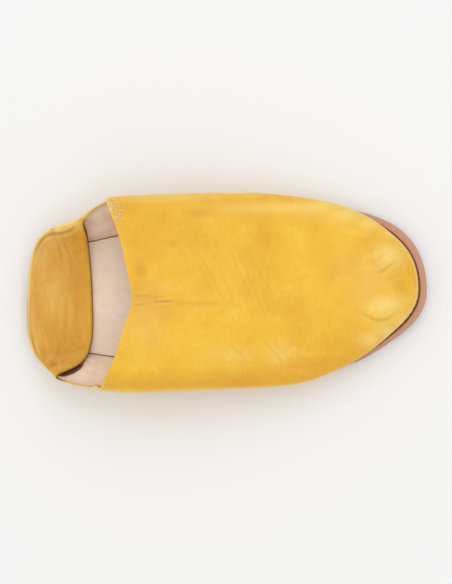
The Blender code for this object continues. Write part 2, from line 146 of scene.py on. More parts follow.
QUARTER_CREASES = (
    Crease("above", 0.60, 1.1, HEEL_BEND[:7]),
    Crease("above", 0.20, 1.0, HEEL_BEND[6:10]),
    Crease("above", 0.40, 1.1, HEEL_BEND[9:]),
    Crease("above", -0.15, 4.0, ((-116, -30), (-115, -10), (-115, 10), (-114, 28))),
    Crease("above", 0.14, 1.4, ((-106, -30), (-104, -14), (-104, 2))),
    Crease("above", 0.12, 1.2, ((-100, 12), (-99, 22), (-102, 31))),
    Crease("above", 0.16, 1.1, ((-109, 40), (-106, 32), (-105.5, 24))),
    Crease("above", 0.14, 1.1, ((-104, 39), (-101, 31), (-100, 25))),
    Crease("above", 0.16, 1.1, ((-112, -44), (-109, -36), (-108, -28))),
    Crease("behind", 0.40, 2.2, ((-34, 21), (-22, 17), (-8, 15.5), (6, 16))),
    Crease("behind", 0.36, 2.0, ((36, 19), (24, 15), (12, 13.5), (0, 13))),
    Crease("behind", -0.30, 3.0, ((-28, 12), (-12, 10.5), (6, 10), (24, 11))),
    Crease("left", 0.55, 2.2, ((-122, 24), (-112, 18), (-100, 14), (-86, 12))),
    Crease("left", 0.45, 2.0, ((-116, 29), (-106, 24), (-96, 21))),
    Crease("left", -0.45, 2.8, ((-108, 20), (-96, 16.5), (-84, 15))),
    Crease("left", 0.35, 1.8, ((-92, 30), (-84, 25), (-80, 19))),
    Crease("right", 0.60, 2.2, ((-124, 25), (-113, 19), (-101, 15), (-88, 13))),
    Crease("right", 0.45, 2.0, ((-117, 30), (-108, 25), (-97, 22))),
    Crease("right", -0.45, 2.8, ((-110, 21), (-98, 17.5), (-86, 16))),
    Crease("right", 0.35, 1.8, ((-94, 31), (-87, 26), (-82, 20))),
)

# A deeper or paler tint placed from above, for dye stains, painted shade and painted highlights:
# its middle from above, its radius along x and y, its strength
Tint = namedtuple("Tint", "x y length width strength")

# Darker tints: dye stains, and at the end a band of painted shade along the lateral lower edge
DEEP_STAINS_AND_SIDE_SHADE = (
    Tint(-50, 14, 5, 7, 1.3),
    Tint(-29, 30, 5, 4, 1.2),
    Tint(-12, 50, 12, 4.5, 1.1),
    Tint(30, 35, 7, 9, 0.55),
    Tint(74, 10, 7, 9, 0.65),
    Tint(62, 38, 9, 7, 0.3),
    Tint(-36, -7, 10, 2.5, 0.5),
    Tint(-42, 36, 30, 26, 0.75),
    Tint(-52, 0, 16, 24, 0.55),
    Tint(-34, -12, 24, 8, 0.50),
    # Painted shade along the lateral side's lower edge, where the wall turns down
    Tint(0, -59, 60, 6, 0.9),
    Tint(62, -50, 26, 5, 0.7),
)
# Paler tints: painted highlights on the toe and the medial edge, and some lighter dye
PALE_STAINS_AND_HIGHLIGHTS = (
    # Painted highlights on the top of the toe
    Tint(110, 20, 10, 9, 0.80),
    Tint(107, -13, 13, 7, 0.85),
    Tint(116, -22, 6, 5, 0.6),
    Tint(106, -29, 7, 5, 0.65),
    Tint(95, -35, 8, 5, 0.6),
    Tint(98, 2, 14, 22, 0.30),
    Tint(37, -42, 10, 7, 0.35),
    Tint(4, -42, 18, 5, 0.25),
    Tint(-50, -24, 14, 16, 0.2),
    # A paler band along the medial edge where the leather turns down: painted sheen, and dye worn
    # thin
    Tint(64, 53, 18, 5.5, 0.65),
    Tint(84, 48, 13, 6, 0.75),
    Tint(99, 42, 9, 5, 0.65),
    Tint(112, 34, 7, 5, 0.5),
    Tint(50, 53, 50, 4, 0.6),
    Tint(-30, 61, 44, 3, 0.45),
)
# Painted shade on the folded back: along the heel fold, at the foot of its roll, and on its
# lateral part
FLAP_SHADE = (
    Tint(-110, 37, 13, 5, 0.7),
    Tint(-114, -40, 12, 8, 1.0),
    Tint(-123, 4, 4, 30, 0.6),
    Tint(-97, 0, 2.5, 34, 0.5),
)
# Paler tints on the folded back: a painted highlight on the fold's roll at the medial corner, and
# lighter dye over its middle
FLAP_HIGHLIGHT_AND_PALE = (
    Tint(-98, 48, 7, 3.2, 1.0),
    Tint(-108, 46.5, 9, 4, 1.1),
    Tint(-117, 43, 5, 4, 0.9),
    Tint(-120, 28, 7, 8, 0.3),
    Tint(-110, 6, 9, 20, 0.25),
)
# Where the quarter's cut edge is the collar's rim, which kept its yellow
COLLAR_RIM = (
    Tint(-95, -58.5, 17, 4.5, 1.6),
    Tint(-82, 57, 15, 8, 1.6),
)

# Painted shadow on the lining at the lateral corner, along the folded back's edge, where the
# crevice under it is dark
CREVICE_SHADOW_LINE = ((-108.5, -52.6), (-104, -50.6), (-99, -48.6), (-94.5, -46.0), (-91, -42.5))
CREVICE_WIDTH = 1.9 * MM
CREVICE_FADE = 0.8

WAYS = {
    "above": (Vector((0, 0, 1)), 0, 1),
    "left": (Vector((0, 1, 0)), 0, 2),
    "right": (Vector((0, -1, 0)), 0, 2),
    "behind": (Vector((-1, 0, 0)), 1, 2),
}
CAST_FROM = 0.3


def outwardness(faces):
    """How far a group of faces looks away from the shoe's own middle line."""
    total = 0.0
    for face in faces:
        centre = face.calc_center_median()
        inner = Vector((min(max(centre.x, AXIS_HEEL), AXIS_TOE), 0.0, AXIS_HEIGHT))
        total += face.calc_area() * face.normal.dot((centre - inner).normalized())
    return total


def parted_faces(shape):
    """Groups of faces that no cut edge parts, the largest first."""
    left = set(shape.faces)
    groups = []
    while left:
        waiting = [left.pop()]
        group = []
        while waiting:
            face = waiting.pop()
            group.append(face)
            for edge in face.edges:
                if edge.calc_face_angle(0.0) > CUT_ANGLE:
                    continue
                for other in edge.link_faces:
                    if other in left:
                        left.remove(other)
                        waiting.append(other)
        groups.append(group)
    return sorted(groups, key=lambda group: -sum(face.calc_area() for face in group))


OUTER, FLESH, CUT = 0, 1, 2


def base_shape(node):
    """A node's facets joined to four-sided faces, with its cut edges kept crisp."""
    shape = bmesh.new()
    shape.from_mesh(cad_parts[node].data)
    bmesh.ops.remove_doubles(shape, verts=shape.verts, dist=WELD)
    bmesh.ops.join_triangles(
        shape,
        faces=shape.faces,
        angle_face_threshold=JOIN_FACE_ANGLE,
        angle_shape_threshold=JOIN_SHAPE_ANGLE,
    )
    crease = shape.edges.layers.float.new("crease_edge")
    for edge in shape.edges:
        if edge.calc_face_angle(0.0) > CUT_ANGLE:
            edge[crease] = CUT_CREASE
    return shape


def mark_sides(shape):
    """Gives the outer side, the flesh side and the cut edge of a leather wall their materials."""
    groups = parted_faces(shape)
    walls = sorted(groups[:2], key=outwardness, reverse=True)
    for group in groups[2:]:
        for face in group:
            face.material_index = CUT
    for index, group in zip((OUTER, FLESH), walls):
        for face in group:
            face.material_index = index


def smoothed(name, shape, levels):
    """An object with the shape subdivided that many times."""
    mesh = bpy.data.meshes.new(name)
    shape.to_mesh(mesh)
    shape.free()
    rough = bpy.data.objects.new(name + "_rough", mesh)
    bpy.context.scene.collection.objects.link(rough)
    modifier = rough.modifiers.new("round", "SUBSURF")
    modifier.levels = levels
    modifier.render_levels = levels
    modifier.boundary_smooth = "ALL"
    graph = bpy.context.evaluated_depsgraph_get()
    fine = bpy.data.meshes.new_from_object(rough.evaluated_get(graph))
    fine.name = name
    bpy.data.objects.remove(rough)
    bpy.data.meshes.remove(mesh)
    piece = bpy.data.objects.new(name, fine)
    bpy.context.scene.collection.objects.link(piece)
    return piece


def refine_outer(piece):
    """Splits the outer side's faces once more, for its finer creases."""
    shape = bmesh.new()
    shape.from_mesh(piece.data)
    edges = {edge for face in shape.faces if face.material_index == OUTER for edge in face.edges}
    ordered = sorted(edges, key=lambda edge: edge.index)
    bmesh.ops.subdivide_edges(shape, edges=ordered, cuts=1, use_grid_fill=True, smooth=0.0)
    shape.to_mesh(piece.data)
    shape.free()


def coordinates(mesh):
    """The mesh's points as rows of an array."""
    flat = np.empty(len(mesh.vertices) * 3, np.float32)
    mesh.vertices.foreach_get("co", flat)
    return flat.reshape(-1, 3).astype(float)


def outer_surface(mesh):
    """The outer side's own faces, to cast rays on."""
    points = [vertex.co for vertex in mesh.vertices]
    faces = [face.vertices[:] for face in mesh.polygons if face.material_index == OUTER]
    return BVHTree.FromPolygons(points, faces)


def outer_normals(mesh):
    """For each point, the way that the outer side faces next to it."""
    outer = set()
    for face in mesh.polygons:
        if face.material_index == OUTER:
            outer.update(face.vertices)
    tree = kdtree.KDTree(len(outer))
    for index in sorted(outer):
        tree.insert(mesh.vertices[index].co, index)
    tree.balance()
    result = np.empty((len(mesh.vertices), 3))
    for vertex in mesh.vertices:
        nearest = vertex.index
        if nearest not in outer:
            nearest = tree.find(vertex.co)[1]
        result[vertex.index] = mesh.vertices[nearest].normal
    return result


def curve_through(points, steps=8):
    """A smooth curve through given points."""
    points = [Vector(point) for point in points]
    ends = [2 * points[0] - points[1], *points, 2 * points[-1] - points[-2]]
    result = []
    for before, start, end, after in zip(ends, ends[1:], ends[2:], ends[3:]):
        for step in range(steps):
            t = step / steps
            bend = (2 * before - 5 * start + 4 * end - after) * t * t
            twist = (3 * start - before - 3 * end + after) * t ** 3
            result.append(0.5 * (2 * start + (end - before) * t + bend + twist))
    result.append(points[-1])
    return result


def seat(surface, way, first, second):
    """The place and facing of the outer side, straight in from that way, at a table's point."""
    out, across, up = WAYS[way]
    origin = out * CAST_FROM
    origin[across] = first * MM + (MARK if across == 0 else 0.0)
    origin[up] = second * MM
    place, facing, _, _ = surface.ray_cast(origin, -out)
    return place, facing


def crease_line(surface, crease):
    """The crease's points on the outer side."""
    line = []
    for point in curve_through([(*p, 0.0) for p in crease.points]):
        place, _ = seat(surface, crease.way, point.x, point.y)
        if place is not None:
            line.append(place)
    return line


# A distance beyond every real one, and the least square of a run's length to divide by
FAR_AWAY = 1e3
NO_LENGTH = 1e-12


def nearest_on_line(points, line):
    """Each point's distance from the line, and how far along it the nearest place is."""
    distance = np.full(len(points), FAR_AWAY)
    along = np.zeros(len(points))
    steps = len(line) - 1
    for index in range(steps):
        start = np.array(line[index])
        run = np.array(line[index + 1]) - start
        square = max(float(run @ run), NO_LENGTH)
        share = np.clip((points - start) @ run / square, 0.0, 1.0)
        gap = np.linalg.norm(points - start - share[:, None] * run, axis=1)
        closer = gap < distance
        distance[closer] = gap[closer]
        along[closer] = (index + share[closer]) / steps
    return distance, along


# A line fades towards its ends, down to what it has this share of its length before them
END_SHARE = 0.02


def fading(along, power):
    """1 at a line's middle and near 0 at its ends."""
    return np.sin(math.pi * np.clip(along, END_SHARE, 1 - END_SHARE)) ** power


# A trough has a low shoulder to each side, this many widths from its middle and this high. A
# crease of the full depth, no wider than a fine one, gets the whole of its painted shade and
# highlight.
SHOULDER_PLACE = 1.9
SHOULDER_SHARE = 0.35
FULL_DEPTH = 0.5
FINE_WIDTH = 1.8
CREASE_FADE = 0.6


def press_creases(points, surface, creases):
    """How far each point is pushed out by the creases, and how much painted shade their troughs
    and painted highlight their ridges get.
    """
    push = np.zeros(len(points))
    trough_shade = np.zeros(len(points))
    ridge_highlight = np.zeros(len(points))
    for crease in creases:
        line = crease_line(surface, crease)
        if len(line) < 3:
            continue
        distance, along = nearest_on_line(points, line)
        width = crease.width * MM
        fade = fading(along, CREASE_FADE)
        middle = np.exp(-((distance / width) ** 2))
        shoulder = np.exp(-((distance / width - SHOULDER_PLACE) ** 2))
        push += crease.depth * MM * fade * (SHOULDER_SHARE * shoulder - middle)
        fine = min(1.0, FINE_WIDTH / crease.width)
        mark = fade * fine * min(1.0, abs(crease.depth) / FULL_DEPTH)
        # Painted shade in a crease's trough, painted highlight on its ridges
        if crease.depth > 0:
            trough_shade = np.maximum(trough_shade, mark * middle)
            ridge_highlight = np.maximum(ridge_highlight, mark * shoulder)
        else:
            ridge_highlight = np.maximum(ridge_highlight, mark * middle)
    return push, trough_shade, ridge_highlight


SWELL_SHIFT = Vector((7.1, 3.3, 5.7))


def wander(points, size, seed):
    """A slow random swell from -1 to 1 whose lumps are about that size."""
    shift = seed * SWELL_SHIFT
    return np.array([noise.noise(Vector(point) / size + shift) for point in points])


def tint_mask(points, tints):
    """How strongly tints placed from above cover each point."""
    mask = np.zeros(len(points))
    for tint in tints:
        across = ((points[:, 0] - MARK) / MM - tint.x) / tint.length
        along = (points[:, 1] / MM - tint.y) / tint.width
        mask = np.maximum(mask, tint.strength * np.exp(-(across ** 2) - along ** 2))
    return mask


def crevice_shadow_mask(points):
    """How near each point lies to the folded back's lateral edge, seen from above, for the painted
    crevice shadow.
    """
    line = []
    for place in curve_through([(*point, 0.0) for point in CREVICE_SHADOW_LINE]):
        line.append(Vector((MARK + place.x * MM, place.y * MM, 0.0)))
    distance, along = nearest_on_line(points * (1.0, 1.0, 0.0), line)
    return fading(along, CREVICE_FADE) * np.exp(-((distance / CREVICE_WIDTH) ** 2))


def paint(mesh, name, values):
    """Keeps a value for each point of the mesh under that name."""
    attribute = mesh.attributes.new(name, "FLOAT", "POINT")
    attribute.data.foreach_set("value", np.asarray(values, np.float32))


def cut_distance(mesh, points):
    """Each point's distance from the nearest cut edge."""
    cut = set()
    for face in mesh.polygons:
        if face.material_index == CUT:
            cut.update(face.vertices)
    tree = kdtree.KDTree(len(cut))
    for index in sorted(cut):
        tree.insert(mesh.vertices[index].co, index)
    tree.balance()
    return np.array([tree.find(Vector(point))[2] for point in points])


def move_points(mesh, points):
    """Puts the mesh's points in their new places."""
    mesh.vertices.foreach_set("co", points.astype(np.float32).ravel())
    mesh.update()
    for polygon in mesh.polygons:
        polygon.use_smooth = True


def slant_creases():
    """The faint parallel lines across the vamp, as creases."""
    lines = []
    for index, offset in enumerate(SLANT_OFFSETS):
        overrun = SLANT_OVERRUN - SLANT_STEP * (index % 4)
        start = (SLANT_START[0] + offset, SLANT_START[1] - SLANT_INSET * (index % 3))
        end = (SLANT_END[0] + offset, SLANT_END[1] + overrun)
        bow = SLANT_BOW * (index % 2)
        middle = ((start[0] + end[0]) / 2 + bow, (start[1] + end[1]) / 2)
        lines.append(Crease("above", SLANT_DEPTH, SLANT_WIDTH, (start, middle, end)))
    return lines


RIM_WIDTH = 1.0 * MM

# The leather's slow swells, each with its share, size and seed, are calm near a cut edge
Swell = namedtuple("Swell", "share size seed")
SWELLS = (Swell(0.7, 24 * MM, 1), Swell(0.3, 9 * MM, 2))
CALM_REACH = 8 * MM
CALM_LEAST = 0.15

# How many times a wall and a layer of the sole are subdivided
WALL_LEVELS = 2
SOLE_LEVELS = 3


def facing_out(points, normals):
    """How far the outer side next to each point faces sideways out of the shoe, from 0 to 1."""
    away = points[:, :2].copy()
    away[:, 0] -= np.clip(points[:, 0], AXIS_HEEL, AXIS_TOE)
    away /= np.linalg.norm(away, axis=1)[:, None] + WELD
    return np.clip(np.sum(away * normals[:, :2], axis=1), 0.0, 1.0)


def leather_wall(name, node, creases, swell, tints, pale, refine):
    """A node's wall with its creases pressed in, and its stains, painted shade, painted highlights
    and edge bands marked.
    """
    shape = base_shape(node)
    mark_sides(shape)
    piece = smoothed(name, shape, WALL_LEVELS)
    if refine:
        refine_outer(piece)
    mesh = piece.data
    points = coordinates(mesh)
    surface = outer_surface(mesh)
    normals = outer_normals(mesh)
    edge = cut_distance(mesh, points)
    push, trough_shade, ridge_highlight = press_creases(points, surface, creases)
    calm = np.clip(edge / CALM_REACH, CALM_LEAST, 1.0)
    lumps = sum(part.share * wander(points, part.size, part.seed) for part in SWELLS)
    push += swell * MM * calm * lumps
    move_points(mesh, points + push[:, None] * normals)
    paint(mesh, "trough_shade", trough_shade)
    paint(mesh, "ridge_highlight", ridge_highlight)
    paint(mesh, "rim", np.exp(-((edge / RIM_WIDTH) ** 2)))
    # Darker tints: dye stains, and painted shade
    paint(mesh, "deep", tint_mask(points, tints))
    # Paler tints: painted highlights, and lighter dye
    paint(mesh, "pale", tint_mask(points, pale))
    paint(mesh, "outside", facing_out(points, normals))
    paint(mesh, "collar", np.clip(tint_mask(points, COLLAR_RIM), 0.0, 1.0))
    # Where the painted crevice shadow falls on the lining
    paint(mesh, "crevice_shadow", crevice_shadow_mask(points))
    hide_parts(node)
    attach(piece, "root")
    return piece


class Value:
    """A number that varies over a surface, with Python's arithmetic."""

    def __init__(self, finish, socket):
        self.finish = finish
        self.socket = socket

    def maths(self, operation, first, second):
        settings = {"operation": operation}
        return self.finish.node("ShaderNodeMath", settings, {0: first, 1: second})

    def __add__(self, other):
        return self.maths("ADD", self, other)

    def __sub__(self, other):
        return self.maths("SUBTRACT", self, other)

    def __rsub__(self, other):
        return self.maths("SUBTRACT", other, self)

    def __mul__(self, other):
        return self.maths("MULTIPLY", self, other)

    __radd__ = __add__
    __rmul__ = __mul__


class Finish:
    """A material whose varying values are written as expressions."""

    def __init__(self, name, **sockets):
        self.material = bpy.data.materials.new(name)
        self.material.use_nodes = True
        self.tree = self.material.node_tree
        self.shader = self.tree.nodes["Principled BSDF"]
        self.set(**sockets)
        self.places = self.node("ShaderNodeTexCoord", output="Object")

    def set(self, **sockets):
        """Sets or links the shader's own sockets, with _ for the spaces in their names."""
        for name, value in sockets.items():
            self.feed(self.shader.inputs[name.replace("_", " ")], value)

    def feed(self, socket, value):
        if isinstance(value, Value):
            self.tree.links.new(value.socket, socket)
        else:
            socket.default_value = value

    def node(self, kind, settings=None, inputs=None, output=0):
        """A node with its settings made first, then its sockets' values or links."""
        made = self.tree.nodes.new(kind)
        for name, value in (settings or {}).items():
            setattr(made, name, value)
        for name, value in (inputs or {}).items():
            self.feed(made.inputs[name], value)
        return Value(self, made.outputs[output])

    def marked(self, name):
        """A value kept for each point of the mesh."""
        return self.node("ShaderNodeAttribute", {"attribute_name": name}, output="Fac")

    def placed(self, stretch, turn):
        """The shoe's own coordinates, turned about the vertical and stretched."""
        return self.node(
            "ShaderNodeMapping",
            {"vector_type": "POINT"},
            {"Vector": self.places, "Rotation": (0, 0, turn), "Scale": stretch},
        )

    def clouds(self, size, detail=3.0, rough=0.5, stretch=(1, 1, 1), turn=0.0, warp=0.0):
        """Soft noise whose lumps are about size millimetres wide."""
        return self.node(
            "ShaderNodeTexNoise",
            None,
            {
                "Vector": self.placed(stretch, turn),
                "Scale": 1 / (size * MM),
                "Detail": detail,
                "Roughness": rough,
                "Distortion": warp,
            },
        )

    def cells(self, size):
        """The distance from the middle of the nearest cell, for grain and pores."""
        return self.node(
            "ShaderNodeTexVoronoi",
            {"feature": "SMOOTH_F1"},
            {"Vector": self.placed((1, 1, 1), 0.0), "Scale": 1 / (size * MM), "Smoothness": 0.6},
            "Distance",
        )

    def between(self, value, low, high):
        """0 below low and 1 above high, with a soft passage."""
        return self.node(
            "ShaderNodeMapRange",
            {"interpolation_type": "SMOOTHSTEP"},
            {"Value": value, "From Min": low, "From Max": high},
        )

    def layered(self, colour, *coats):
        """A colour with coats over it in turn, each as its share and its own colour."""
        settings = {"data_type": "RGBA", "blend_type": "MIX", "clamp_factor": True}
        for share, coat in coats:
            colour = self.node("ShaderNodeMix", settings, {0: share, 6: colour, 7: coat}, 2)
        return colour

    def relief(self, *bumps):
        """Bumps one over another, each as its height and its depth in millimetres."""
        surface = None
        for height, depth in bumps:
            inputs = {"Height": height, "Distance": depth * MM, "Strength": 1.0}
            if surface is not None:
                inputs["Normal"] = surface
            surface = self.node("ShaderNodeBump", None, inputs)
        return surface

    def facing_up(self):
        """1 where the surface looks up and 0 where it is upright."""
        normal = self.node("ShaderNodeNewGeometry", output="Normal")
        return self.node("ShaderNodeSeparateXYZ", None, {0: normal}, "Z")

    def height(self):
        """The height above the floor in metres."""
        return self.node("ShaderNodeSeparateXYZ", None, {0: self.places}, "Z")


def tone(red, green, blue):
    """A colour picked as it looks, from 0 to 255, as the shader takes it, by the sRGB curve."""
    linear = []
    for part in (red, green, blue):
        share = part / 255
        linear.append(share / 12.92 if share <= 0.04045 else ((share + 0.055) / 1.055) ** 2.4)
    return (*linear, 1.0)


Tones = namedtuple("Tones", "main deep bright pale dark rim")

# How fine the hairlines of the crackled dye are
HAIR_FINENESS = 3000

# Painted shade near the floor thins out between these heights, outside and on the lining
OUTER_LOW_SHADE = (8 * MM, 15 * MM)
LINING_LOW_SHADE = (5.5 * MM, 8 * MM)


def dyed_leather(name, tones, brushed, sheen_from, sheen_share, rim_share):
    """Yellow leather: cloudy dye, fine grain, faint lines, painted shade in troughs and low down,
    painted highlight on ridges and on parts that face sideways, and edge bands.
    """
    finish = Finish(name, IOR=1.46, Specular_IOR_Level=0.42)
    wide = finish.clouds(52, detail=2.0)
    patch = finish.clouds(15, detail=4.0, rough=0.6, warp=0.4)
    mottle = finish.clouds(3.0, detail=5.0, rough=0.65)
    threads = finish.clouds(0.8, detail=3.0, rough=0.6, stretch=(1.0, 0.07, 0.2))
    slants = finish.clouds(1.5, detail=2.0, stretch=(1.0, 0.05, 1.0), turn=math.radians(-22))
    crackle = finish.clouds(6.0, detail=5.0, rough=0.6, stretch=(1.0, 0.35, 1.0), warp=0.8)
    waves = finish.clouds(11.0, detail=3.0, rough=0.5)
    wrinkles = finish.clouds(2.6, detail=4.0, rough=0.6, stretch=(1.0, 0.45, 0.6))
    grain = finish.cells(0.9)
    fine = finish.clouds(0.35, detail=2.0)
    trough_shade = finish.marked("trough_shade")
    rim = finish.marked("rim")
    outside = finish.marked("outside")
    uneven = 0.35 + 0.65 * mottle
    hairs = (crackle - 0.5) * (crackle - 0.5) * HAIR_FINENESS
    hairs = (1 - finish.between(hairs, 0.0, 1.0)) * finish.between(patch, 0.45, 0.65)
    # Paler where the outer side faces sideways out of the shoe: painted sheen, and dye worn thin
    # on the turned edges
    side = finish.between(outside, sheen_from, sheen_from + 0.3) * (0.5 + patch)
    # Painted shade low on the sideways-facing outer side, near the floor
    low = outside * (1 - finish.between(finish.height(), *OUTER_LOW_SHADE))
    colour = finish.layered(
        tones.main,
        (finish.between(wide, 0.40, 0.66) * 0.45, tones.deep),
        (finish.between(patch, 0.50, 0.74) * 0.40, tones.bright),
        (finish.between(patch, 0.46, 0.30) * 0.25, tones.deep),
        (finish.between(mottle, 0.52, 0.78) * 0.25, tones.deep),
        (finish.between(mottle, 0.46, 0.26) * 0.22, tones.bright),
        (finish.between(threads, 0.54, 0.75) * brushed, tones.deep),
        (finish.between(threads, 0.46, 0.28) * brushed, tones.bright),
        (finish.between(slants, 0.66, 0.80) * 0.20, tones.pale),
        (hairs * 0.20, tones.pale),
        # Darker tints: dye stains, and painted shade along the lateral lower edge and in the
        # heel's fold
        (finish.marked("deep") * uneven, tones.deep),
        # Paler tints: painted highlights on the toe and the medial edge, and lighter dye
        (finish.marked("pale") * uneven, tones.pale),
        (side * sheen_share, tones.pale),
        (low * 0.6, tones.deep),
        # Painted highlight on the crease ridges and shoulders
        (finish.marked("ridge_highlight") * 0.35, tones.pale),
        # Edge band: a pale cut edge on the vamp; on the folded back a dark band, partly painted
        # shadow under its edge
        (rim * rim_share, tones.rim),
        (rim * finish.marked("collar") * 0.8, tones.pale),
        # Painted shade in the crease troughs
        (trough_shade * 0.55, tones.dark),
    )
    gloss = 0.44 + 0.16 * patch - 0.08 * finish.marked("pale") + 0.12 * trough_shade
    surface = finish.relief(
        (waves, 0.30), (wrinkles, 0.14), (grain, 0.09), (threads, 0.07), (fine, 0.05)
    )
    finish.set(Base_Color=colour, Roughness=gloss, Normal=surface)
    return finish.material


def flesh_leather():
    """The undyed inner side of the leather: matt, fibrous and a little stained, with painted shade
    low down and a painted crevice shadow at the lateral corner.
    """
    finish = Finish("flesh side", IOR=1.4, Specular_IOR_Level=0.2)
    patch = finish.clouds(14, detail=4.0, rough=0.6)
    fibre = finish.clouds(1.1, detail=6.0, rough=0.75, stretch=(1.0, 1.0, 0.4))
    # Painted shade low on the lining, in its corner with the insole
    low = 1 - finish.between(finish.height(), *LINING_LOW_SHADE)
    # Painted shadow: the dark crevice under the folded back's lateral edge
    painted_crevice_shadow = finish.between(finish.marked("crevice_shadow"), 0.25, 0.65)
    colour = finish.layered(
        tone(254, 235, 213),
        (finish.between(patch, 0.35, 0.7), tone(244, 213, 185)),
        (finish.between(fibre, 0.5, 0.75) * 0.3, tone(226, 194, 168)),
        (low * 0.6, tone(132, 84, 58)),
        (finish.marked("rim") * 0.7, tone(222, 176, 104)),
        # Painted shade in the crease troughs on the lining
        (finish.marked("trough_shade") * 0.35, tone(150, 104, 78)),
        (painted_crevice_shadow * 0.9, tone(98, 42, 16)),
    )
    surface = finish.relief((patch, 0.5), (fibre, 0.22))
    finish.set(Base_Color=colour, Roughness=0.86, Normal=surface)
    return finish.material


def cut_edge(name, light, dark):
    """The raw edge of cut leather, with its layers of fibre."""
    finish = Finish(name, IOR=1.4, Specular_IOR_Level=0.25)
    layers = finish.clouds(0.7, detail=4.0, rough=0.7)
    wide = finish.clouds(9, detail=2.0)
    colour = finish.layered(
        light,
        (finish.between(layers, 0.4, 0.7) * 0.5, dark),
        (finish.between(wide, 0.45, 0.7) * 0.4, dark),
        (finish.marked("collar") * 0.85, tone(236, 190, 96)),
    )
    finish.set(Base_Color=colour, Roughness=0.8, Normal=finish.relief((layers, 0.25)))
    return finish.material


def sock_leather():
    """The insole's smooth undyed leather, rubbed and a little soiled."""
    finish = Finish("insole leather", IOR=1.42, Specular_IOR_Level=0.3)
    wide = finish.clouds(38, detail=3.0)
    patch = finish.clouds(8, detail=5.0, rough=0.65)
    grain = finish.cells(0.8)
    fine = finish.clouds(0.6, detail=4.0, rough=0.7)
    colour = finish.layered(
        tone(253, 240, 222),
        (finish.between(wide, 0.35, 0.7), tone(248, 226, 204)),
        (finish.between(patch, 0.52, 0.75) * 0.35, tone(226, 198, 172)),
        (finish.between(fine, 0.55, 0.8) * 0.25, tone(250, 238, 222)),
    )
    surface = finish.relief((grain, 0.08), (fine, 0.08), (patch, 0.35))
    finish.set(Base_Color=colour, Roughness=0.66, Normal=surface)
    return finish.material


def sole_leather():
    """Hard undyed sole leather: pink-brown on top, browner at its edge, scuffed below."""
    finish = Finish("sole leather", IOR=1.45, Specular_IOR_Level=0.35)
    wide = finish.clouds(30, detail=3.0)
    patch = finish.clouds(6, detail=5.0, rough=0.65)
    layers = finish.clouds(1.3, detail=4.0, rough=0.7, stretch=(0.12, 0.12, 1.0))
    scuff = finish.clouds(1.4, detail=3.0, stretch=(0.10, 1.0, 1.0), turn=math.radians(12))
    fine = finish.clouds(0.5, detail=4.0, rough=0.7)
    up = finish.facing_up()
    top = finish.between(up, 0.6, 0.99)
    under = finish.between(0 - up, 0.5, 0.9)
    side = (1 - top) * (1 - under)
    colour = finish.layered(
        tone(190, 138, 108),
        (finish.between(wide, 0.35, 0.7), tone(170, 118, 90)),
        (top * (0.3 + 0.5 * patch), tone(214, 164, 138)),
        (side * 0.75, tone(150, 116, 94)),
        (side * finish.between(layers, 0.45, 0.7) * 0.5, tone(112, 78, 56)),
        (under * 0.7, tone(186, 144, 108)),
        (under * finish.between(scuff, 0.55, 0.72) * 0.55, tone(120, 88, 64)),
        (finish.between(patch, 0.55, 0.78) * 0.35, tone(150, 104, 80)),
    )
    surface = finish.relief((fine, 0.10), (layers, 0.20), (scuff, 0.16))
    finish.set(Base_Color=colour, Roughness=0.6 + 0.15 * fine, Normal=surface)
    return finish.material


def thread_finish(name, light, dark):
    """Waxed twisted thread."""
    finish = Finish(name, IOR=1.45, Specular_IOR_Level=0.3)
    twist = finish.clouds(0.5, detail=2.0, stretch=(1.0, 1.0, 0.3))
    colour = finish.layered(light, (finish.between(twist, 0.4, 0.65), dark))
    finish.set(Base_Color=colour, Roughness=0.7, Normal=finish.relief((twist, 0.12)))
    return finish.material


VAMP_TONES = Tones(
    main=tone(238, 186, 44),
    deep=tone(221, 156, 38),
    bright=tone(246, 204, 66),
    pale=tone(252, 226, 140),
    dark=tone(160, 92, 22),
    rim=tone(244, 204, 96),
)
FLAP_TONES = Tones(
    main=tone(224, 168, 48),
    deep=tone(204, 134, 30),
    bright=tone(232, 184, 70),
    pale=tone(250, 218, 140),
    dark=tone(142, 80, 24),
    # Dark brown edge band, partly painted shadow for the gap under the folded back's edge
    rim=tone(112, 66, 30),
)

flesh = flesh_leather()
pale_cut = cut_edge("pale cut edge", tone(240, 202, 122), tone(214, 160, 84))
# Dark brown cut edge of the quarter, partly painted shadow for the gap under the folded back's
# edge
brown_cut_and_shadow = cut_edge("brown cut edge", tone(104, 62, 32), tone(70, 40, 22))

vamp = leather_wall(
    "vamp",
    "upper_vamp",
    creases=(*VAMP_CREASES, *slant_creases()),
    swell=0.35,
    tints=DEEP_STAINS_AND_SIDE_SHADE,
    pale=PALE_STAINS_AND_HIGHLIGHTS,
    refine=True,
)
quarter = leather_wall(
    "quarter",
    "upper_quarter",
    creases=QUARTER_CREASES,
    swell=0.22,
    tints=FLAP_SHADE,
    pale=FLAP_HIGHLIGHT_AND_PALE,
    refine=False,
)
vamp_leather = dyed_leather(
    "vamp leather", VAMP_TONES, brushed=0.30, sheen_from=0.70, sheen_share=0.45, rim_share=0.35
)
quarter_leather = dyed_leather(
    "quarter leather", FLAP_TONES, brushed=0.50, sheen_from=0.15, sheen_share=0.85, rim_share=0.85
)
for material in (vamp_leather, flesh, pale_cut):
    vamp.data.materials.append(material)
for material in (quarter_leather, flesh, brown_cut_and_shadow):
    quarter.data.materials.append(material)


def sole_piece(name, node, material):
    """A flat layer of the sole with its outline and edges rounded finer."""
    piece = smoothed(name, base_shape(node), SOLE_LEVELS)
    piece.data.materials.append(material)
    for polygon in piece.data.polygons:
        polygon.use_smooth = True
        polygon.material_index = 0
    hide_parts(node)
    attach(piece, "root")
    return piece


sole_piece("sock", "insole", sock_leather())
sole = sole_piece("sole", "outsole", sole_leather())


THREAD_SIDES = 6
THREAD_END = 0.55


